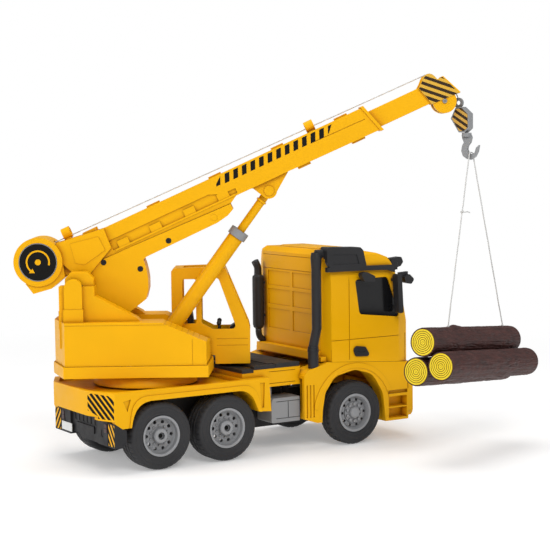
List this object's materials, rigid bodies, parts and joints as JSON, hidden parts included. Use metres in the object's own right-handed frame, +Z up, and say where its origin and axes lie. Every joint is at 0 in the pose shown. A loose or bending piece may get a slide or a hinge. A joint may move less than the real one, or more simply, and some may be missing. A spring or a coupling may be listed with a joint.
{
  "type": "toy crane truck",
  "caption": "Toy mobile crane: truck chassis with steering front wheels, slewing crane, luffing two-stage boom, dummy ram, winch, hook and slung logs.",
  "frame": {"origin": "on the crane's slewing axis, in the plane of the flat belly of the chassis tray, 20 mm above the ground", "axes": "+X towards the truck's cab, +Y to the truck's left, +Z up"},
  "size_m": [0.4363, 0.2859, 0.3412],
  "materials": {
    "yellow": "satin moulded",
    "black": "fine grain",
    "tyre": "matte",
    "grey": "satin",
    "steel": "satin",
    "gear_nylon": "satin",
    "cells": "gloss",
    "board": "satin",
    "dark_glazing": "gloss",
    "cord": "matte",
    "bark": "carved bark"
  },
  "bodies": {
    "chassis": {"chassis_tray": "black", "battery_cover": "black", "battery_pack": "cells", "receiver_board": "board", "drive_motor": "steel", "steering_servo": "black", "front_axle_beam": "black", "rear_deck": "yellow", "rear_bumper": "black", "tread_mats": "black", "side_boxes": "grey", "turntable_ring": "black", "cab_shell": "yellow", "cab_fenders": "yellow", "cab_windows": "dark_glazing", "front_grille": "black", "side_fairing": "black", "sun_visor": "black", "mirrors": "black", "door_handles": "black", "intake_pipe": "black", "exhaust_stack": "black"},
    "rear_axle_1": {"rear_axle1_shaft": "steel", "rear_axle1_gear": "gear_nylon", "rear_axle1_rims": "grey", "rear_axle1_tyres": "tyre"},
    "rear_axle_2": {"rear_axle2_shaft": "steel", "rear_axle2_rims": "grey", "rear_axle2_tyres": "tyre"},
    "motor_shaft": {"drive_pinion": "gear_nylon"},
    "knuckle_left": {"steering_knuckle_left": "steel"},
    "knuckle_right": {"steering_knuckle_right": "steel"},
    "front_wheel_left": {"front_rim_left": "grey", "front_tyre_left": "tyre"},
    "front_wheel_right": {"front_rim_right": "grey", "front_tyre_right": "tyre"},
    "tie_rod": {"tie_rod": "black"},
    "servo_horn": {"servo_horn": "gear_nylon"},
    "crane": {"crane_base": "yellow", "crane_body": "yellow", "operator_cab": "yellow", "operator_seat": "black", "slew_motor": "steel", "pivot_pins": "steel"},
    "slew_pinion": {"slew_pinion": "gear_nylon"},
    "boom": {"boom_shell_right": "yellow", "boom_shell_left": "yellow", "boom_screws": "steel", "boom_rope": "cord"},
    "winch": {"winch_drum": "black"},
    "inner_boom": {"inner_boom": "yellow"},
    "head_sheave": {"head_sheave": "grey"},
    "rope_falls": {"rope_falls": "cord"},
    "hook_block": {"hook_block": "grey"},
    "hook_and_load": {"hook": "grey", "load_sling": "cord", "logs": "bark"},
    "ram_barrel": {"ram_barrel": "yellow", "ram_collar": "grey"},
    "ram_rod": {"ram_rod": "yellow"}
  },
  "joints": [
    {"name": "rear_axle_1_spin", "type": "hinge", "parent": "chassis", "child": "rear_axle_1", "pos_m": [-0.0165, 0, 0.0097], "axis": [0, 1, 0], "continuous": true},
    {"name": "rear_axle_2_spin", "type": "hinge", "parent": "chassis", "child": "rear_axle_2", "pos_m": [0.0491, 0, 0.0097], "axis": [0, 1, 0], "continuous": true},
    {"name": "drive_pinion_spin", "type": "hinge", "parent": "chassis", "child": "motor_shaft", "pos_m": [-0.0165, 0, 0.01993], "axis": [0, 1, 0], "continuous": true},
    {"name": "steer_left", "type": "hinge", "parent": "chassis", "child": "knuckle_left", "pos_m": [0.1861, 0.038, 0.0097], "axis": [0, 0, 1], "range_deg": [-20, 20]},
    {"name": "steer_right", "type": "hinge", "parent": "chassis", "child": "knuckle_right", "pos_m": [0.1861, -0.038, 0.0097], "axis": [0, 0, 1], "range_deg": [-21, 21]},
    {"name": "tie_rod_shift", "type": "slide", "parent": "chassis", "child": "tie_rod", "axis": [0, -1, 0], "range_m": [-0.0055, 0.0055]},
    {"name": "servo_turn", "type": "hinge", "parent": "chassis", "child": "servo_horn", "pos_m": [0.1601, 0, 0.016], "axis": [0, 0, 1], "range_deg": [-25, 25]},
    {"name": "front_wheel_left_spin", "type": "hinge", "parent": "knuckle_left", "child": "front_wheel_left", "pos_m": [0.1861, 0.05, 0.0097], "axis": [0, 1, 0], "continuous": true},
    {"name": "front_wheel_right_spin", "type": "hinge", "parent": "knuckle_right", "child": "front_wheel_right", "pos_m": [0.1861, -0.05, 0.0097], "axis": [0, 1, 0], "continuous": true},
    {"name": "crane_slew", "type": "hinge", "parent": "chassis", "child": "crane", "pos_m": [0, 0, 0.059], "axis": [0, 0, 1], "range_deg": [-285, 5]},
    {"name": "slew_pinion_spin", "type": "hinge", "parent": "crane", "child": "slew_pinion", "pos_m": [-0.01447, 0.00869, 0.064], "axis": [0, 0, 1], "range_deg": [-715, 15]},
    {"name": "boom_luff", "type": "hinge", "parent": "crane", "child": "boom", "pos_m": [-0.04629, 0.02781, 0.138], "axis": [-0.515, -0.8572, 0], "range_deg": [-9, 22]},
    {"name": "ram_tilt", "type": "hinge", "parent": "crane", "child": "ram_barrel", "pos_m": [0.01886, -0.01133, 0.094], "axis": [-0.515, -0.8572, 0], "range_deg": [-10, 24]},
    {"name": "ram_extend", "type": "slide", "parent": "ram_barrel", "child": "ram_rod", "axis": [0.5054, -0.3037, 0.8077], "range_m": [-0.0147, 0.0345]},
    {"name": "boom_extend", "type": "slide", "parent": "boom", "child": "inner_boom", "axis": [0.7818, -0.4698, 0.4099], "range_m": [0, 0.07], "deforming": ["boom_rope"]},
    {"name": "winch_spin", "type": "hinge", "parent": "boom", "child": "winch", "pos_m": [-0.0783, 0.04704, 0.15827], "axis": [-0.515, -0.8572, 0], "range_deg": [-10, 340]},
    {"name": "head_sheave_spin", "type": "hinge", "parent": "inner_boom", "child": "head_sheave", "pos_m": [0.23022, -0.13833, 0.29525], "axis": [-0.515, -0.8572, 0], "range_deg": [-330, 10]},
    {"name": "hook_plumb", "type": "hinge", "parent": "inner_boom", "child": "rope_falls", "pos_m": [0.23022, -0.13833, 0.29525], "axis": [-0.515, -0.8572, 0], "range_deg": [-23, 10]},
    {"name": "hoist_lower", "type": "slide", "parent": "rope_falls", "child": "hook_block", "axis": [0, 0, -1], "range_m": [0, 0.045]},
    {"name": "hook_swivel", "type": "hinge", "parent": "hook_block", "child": "hook_and_load", "pos_m": [0.24562, -0.15166, 0.25526], "axis": [0, 0, 1], "range_deg": [-40, 10]}
  ],
  "couplings": [
    {"joint": "drive_pinion_spin", "follows": "rear_axle_1_spin", "ratio": -1.4167},
    {"joint": "steer_right", "follows": "steer_left", "ratio": 1},
    {"joint": "tie_rod_shift", "follows": "steer_left", "m_per_rad": 0.01385},
    {"joint": "servo_turn", "follows": "steer_left", "ratio": -1.1667},
    {"joint": "slew_pinion_spin", "follows": "crane_slew", "ratio": 2.5},
    {"joint": "ram_tilt", "follows": "boom_luff", "ratio": 0.989},
    {"joint": "ram_extend", "follows": "boom_luff", "m_per_rad": 0.0873},
    {"joint": "hook_plumb", "follows": "boom_luff", "ratio": -1},
    {"joint": "winch_spin", "follows": "hoist_lower", "rad_per_m": 112},
    {"joint": "head_sheave_spin", "follows": "hoist_lower", "rad_per_m": -124.2}
  ]
}
